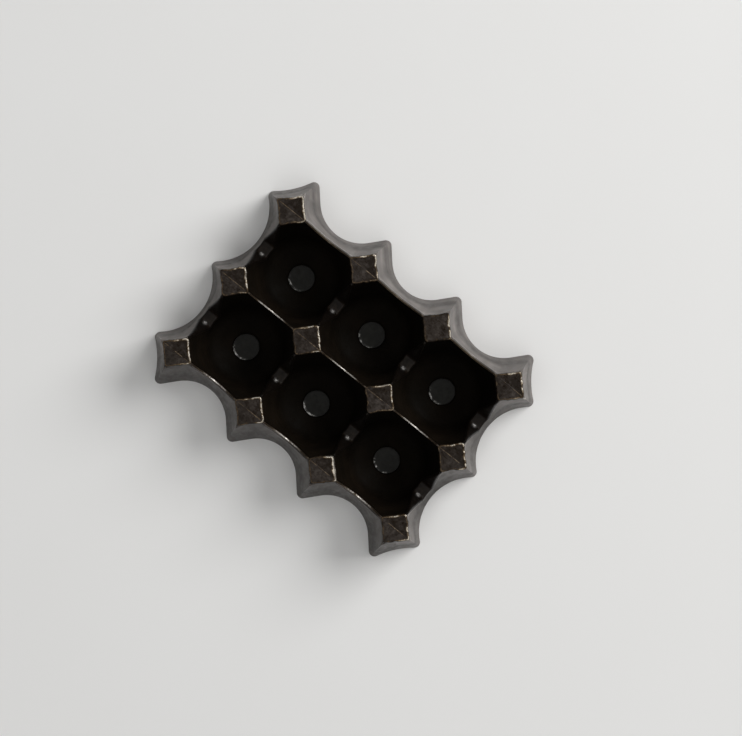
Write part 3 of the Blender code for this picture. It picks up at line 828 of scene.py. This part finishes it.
def corner_corners(side):
    """Sections from the tip of a corner ear to the mitre, measured from the corner post's centre."""
    mitre_turn = math.atan2(side.ear - CORNER_LEAN, side.other_ear - CORNER_LEAN)
    foot = corner_foot(side, mitre_turn)
    part = np.arange(1, len(foot) + 1) / len(foot)
    reach = float(bowl_radius(RIM_Z))
    first = math.asin(side.half / reach)
    angle = first + (math.atan2(side.half, side.across) - first) * part
    top = np.array((side.half, side.across)) - np.stack([np.sin(angle), np.cos(angle)], axis=-1) * reach
    inward = -np.stack([np.sin(mitre_turn * part), np.cos(mitre_turn * part)], axis=-1)
    knee = foot + (top - foot) * BREAK_WIDTH
    plan = [top, knee, foot]
    levels = (RIM_Z, RIM_Z * BREAK_HEIGHT, 0.0)
    plan += [p + inward * SKIRT_THICK for p in plan[::-1]]
    ring = [np.column_stack([p, np.full(len(p), z)]) for p, z in zip(plan, levels + levels[::-1])]
    corners = np.stack(ring, axis=1)
    pull = np.array((-math.cos(mitre_turn), math.sin(mitre_turn), 0.0)) * HAIRLINE / 2
    corners[-1] += pull
    return corners


def side_corners(side):
    """All sections of one skirt panel, from mitre to mitre."""
    sections = []
    for cell in range(side.cells):
        outline = scallop_foot(side, cell)
        if cell:
            outline = outline[1:]
        shift = (2 * cell - side.cells + 1) * side.half
        sections.append(straight_corners(side, *outline.T) + (shift, 0, 0))
    end = side.cells * side.half
    corner = corner_corners(side)
    first = corner[::-1] * (-1, 1, 1)
    return np.concatenate([first - (end, 0, 0)] + sections + [corner + (end, 0, 0)])


def add_skirt(material):
    long_side = Side(HALF_X, HALF_Y, COLUMNS, LINE_Y, EAR_OUT_SIDE, VALLEY_OUT_SIDE, EAR_OUT_END, ridge_crest)
    end_side = Side(HALF_Y, HALF_X, ROWS, LINE_X, EAR_OUT_END, VALLEY_OUT_END, EAR_OUT_SIDE, saddle_seat)
    panels = (("back", long_side), ("right", end_side), ("front", long_side), ("left", end_side))
    for turn, (label, side) in enumerate(panels):
        cos, sin = ((1, 0), (0, 1), (-1, 0), (0, -1))[turn]
        corners = side_corners(side)
        cuts = [0.25 * MM, 2.6 * MM, 0.35 * MM, 0.3 * MM, 1.0 * MM, 0.2 * MM]
        rings = rounded_rings(corners, cuts, [12, 8, 1, 3, 5, 1])
        s, y, z = rings[..., 0], rings[..., 1] + side.line, rings[..., 2]
        rings = np.stack([s * cos + y * sin, y * cos - s * sin, z], axis=-1)
        top = corners[:, 0, 2][:, None]
        height = z / top
        wave = layered(rings * (1, 1, 0.35), 11 * MM, 400 + turn)
        wave = wave * step(height, 0.0, 0.25) * step(-height, -1, -0.8)
        shift = np.stack([np.full(z.shape, float(sin)), np.full(z.shape, float(cos)), 0 * z], axis=-1)
        rings = rings + shift * (0.22 * MM * wave)[..., None]
        streak = 0.14 * layered(rings * (1, 1, 0.12), 1.6 * MM, 470 + turn)
        lines = np.stack([s * 0.10, 0 * s, 22 * MM * height], axis=-1)
        streak = streak + 0.30 * layered(lines, 1.8 * MM, 480 + turn)
        # Painted highlight and shade up the skirt: lighter and darker bands from foot to rim, darkest just
        # above the break.
        painted_band = np.interp(height, SKIRT_BAND_AT, SKIRT_BAND_PAINTED_LIGHT) + streak
        # Painted light and shade round the skirt: the back lighter, the front darker, the left between, and
        # the right panel light at its ears and dark in its valleys.
        share = (s / side.cells / side.half + 1.2) / 2.4
        panel = PANEL_PAINTED_LIGHT[label]
        panel = np.interp(share, np.linspace(0, 1, len(panel)), panel)
        patch = step(layered(lines, 1.6 * MM, 450 + turn), -0.3, 0.4)
        # The bared rim is wear and painted highlight, strongest on the lit back and right.
        rim = step(height, 0.90, 0.985) * (0.55 + 0.45 * patch)
        piece(f"skirt_{label}", rings, material, "skirt_grey", tone=np.clip(painted_band * panel, 0, 1),
              wear=RIM_WEAR[label] * rim)


# ---------------------------------------------------------------- stage


def add_floor():
    corners = [(x * FLOOR_HALF, y * FLOOR_HALF, FLOOR_Z) for x, y in ((-1, -1), (1, -1), (1, 1), (-1, 1))]
    mesh = bpy.data.meshes.new("floor")
    mesh.from_pydata(corners, [], [(0, 1, 2, 3)])
    mesh.materials.append(floor_material())
    floor = bpy.data.objects.new("floor", mesh)
    bpy.context.scene.collection.objects.link(floor)


def add_world():
    """Dim studio surround with a soft glow overhead, shaded in the middle where the camera stands."""
    world = bpy.data.worlds.new("studio")
    world.use_nodes = True
    tree = world.node_tree
    direction = tree.nodes.new("ShaderNodeTexCoord").outputs["Generated"]

    def ramp(toward, edge, start, end):
        facing = tree.nodes.new("ShaderNodeVectorMath")
        facing.operation = "DOT_PRODUCT"
        facing.inputs[1].default_value = toward
        tree.links.new(direction, facing.inputs[0])
        node = tree.nodes.new("ShaderNodeMapRange")
        node.interpolation_type = "SMOOTHSTEP"
        for socket, value in zip(("From Min", "From Max", "To Min", "To Max"), (*edge, start, end)):
            node.inputs[socket].default_value = value
        tree.links.new(facing.outputs["Value"], node.inputs["Value"])
        return node.outputs["Result"]

    strength = tree.nodes.new("ShaderNodeMath")
    strength.operation = "MULTIPLY"
    tree.links.new(ramp(OVERHEAD_TOWARD, OVERHEAD_EDGE, WORLD_LOW, WORLD_OVERHEAD), strength.inputs[0])
    tree.links.new(ramp(SHADE_TOWARD, SHADE_EDGE, 1.0, SHADE_LEVEL), strength.inputs[1])
    tree.links.new(strength.outputs["Value"], tree.nodes["Background"].inputs["Strength"])
    tree.nodes["Background"].inputs["Color"].default_value = WORLD_COLOUR
    bpy.context.scene.world = world


def add_window():
    light = bpy.data.lights.new("window", "AREA")
    light.shape = "DISK"
    light.size = WINDOW_ACROSS
    light.energy = WINDOW_POWER
    light.color = WINDOW_COLOUR
    window = bpy.data.objects.new("window", light)
    bpy.context.scene.collection.objects.link(window)
    level = math.cos(WINDOW_ELEVATION)
    toward = (level * math.cos(WINDOW_AZIMUTH), level * math.sin(WINDOW_AZIMUTH), math.sin(WINDOW_ELEVATION))
    window.location = np.array(toward) * WINDOW_FAR
    window.rotation_euler = (math.pi / 2 - WINDOW_ELEVATION, 0.0, WINDOW_AZIMUTH + math.pi / 2)


def add_camera():
    camera = bpy.data.objects.new("camera", bpy.data.cameras.new("camera"))
    camera.data.lens = CAMERA_LENS
    camera.data.sensor_width = SENSOR_WIDTH
    camera.data.sensor_fit = "HORIZONTAL"
    camera.location = CAMERA_AT
    camera.rotation_euler = (0.0, 0.0, CAMERA_TURN)
    bpy.context.scene.collection.objects.link(camera)
    bpy.context.scene.camera = camera
    bpy.context.scene.view_settings.view_transform = "Standard"


# ---------------------------------------------------------------- build

add_cups(coated("cup_patina", CUP_COAT, BRONZES, 9 * MM, (0.45, 0.65), 0.03, 0.10 * MM))
add_discs(coated("disc_grey", DISC_COAT, GREYS, 4 * MM, (0.28, 0.45), 0.13, 0.08 * MM, shine=0.5))
add_caps(coated("cap_bronze", DECK_COAT, BRONZES, 1.8 * MM, (0.24, 0.45), 0.13, 0.09 * MM))
# The seams are half metallic, so their painted highlight shows as colour from every side.
add_seams(coated("seam_bronze", DECK_COAT, SOLDERS, 1.8 * MM, (0.24, 0.45), 0.13, 0.09 * MM, shine=0.5))
add_bridges(coated("bridge_patina", BRIDGE_COAT, PALE_GREYS, 3 * MM, (0.35, 0.5), 0.10, 0.08 * MM, shine=0.3))
add_skirt(coated("skirt_grey", SKIRT_COAT, SATINS, 6 * MM, (0.34, 0.50), 0.08, 0.10 * MM, (1, 1, 0.3), 0.4))
add_floor()
add_world()
add_window()
add_camera()
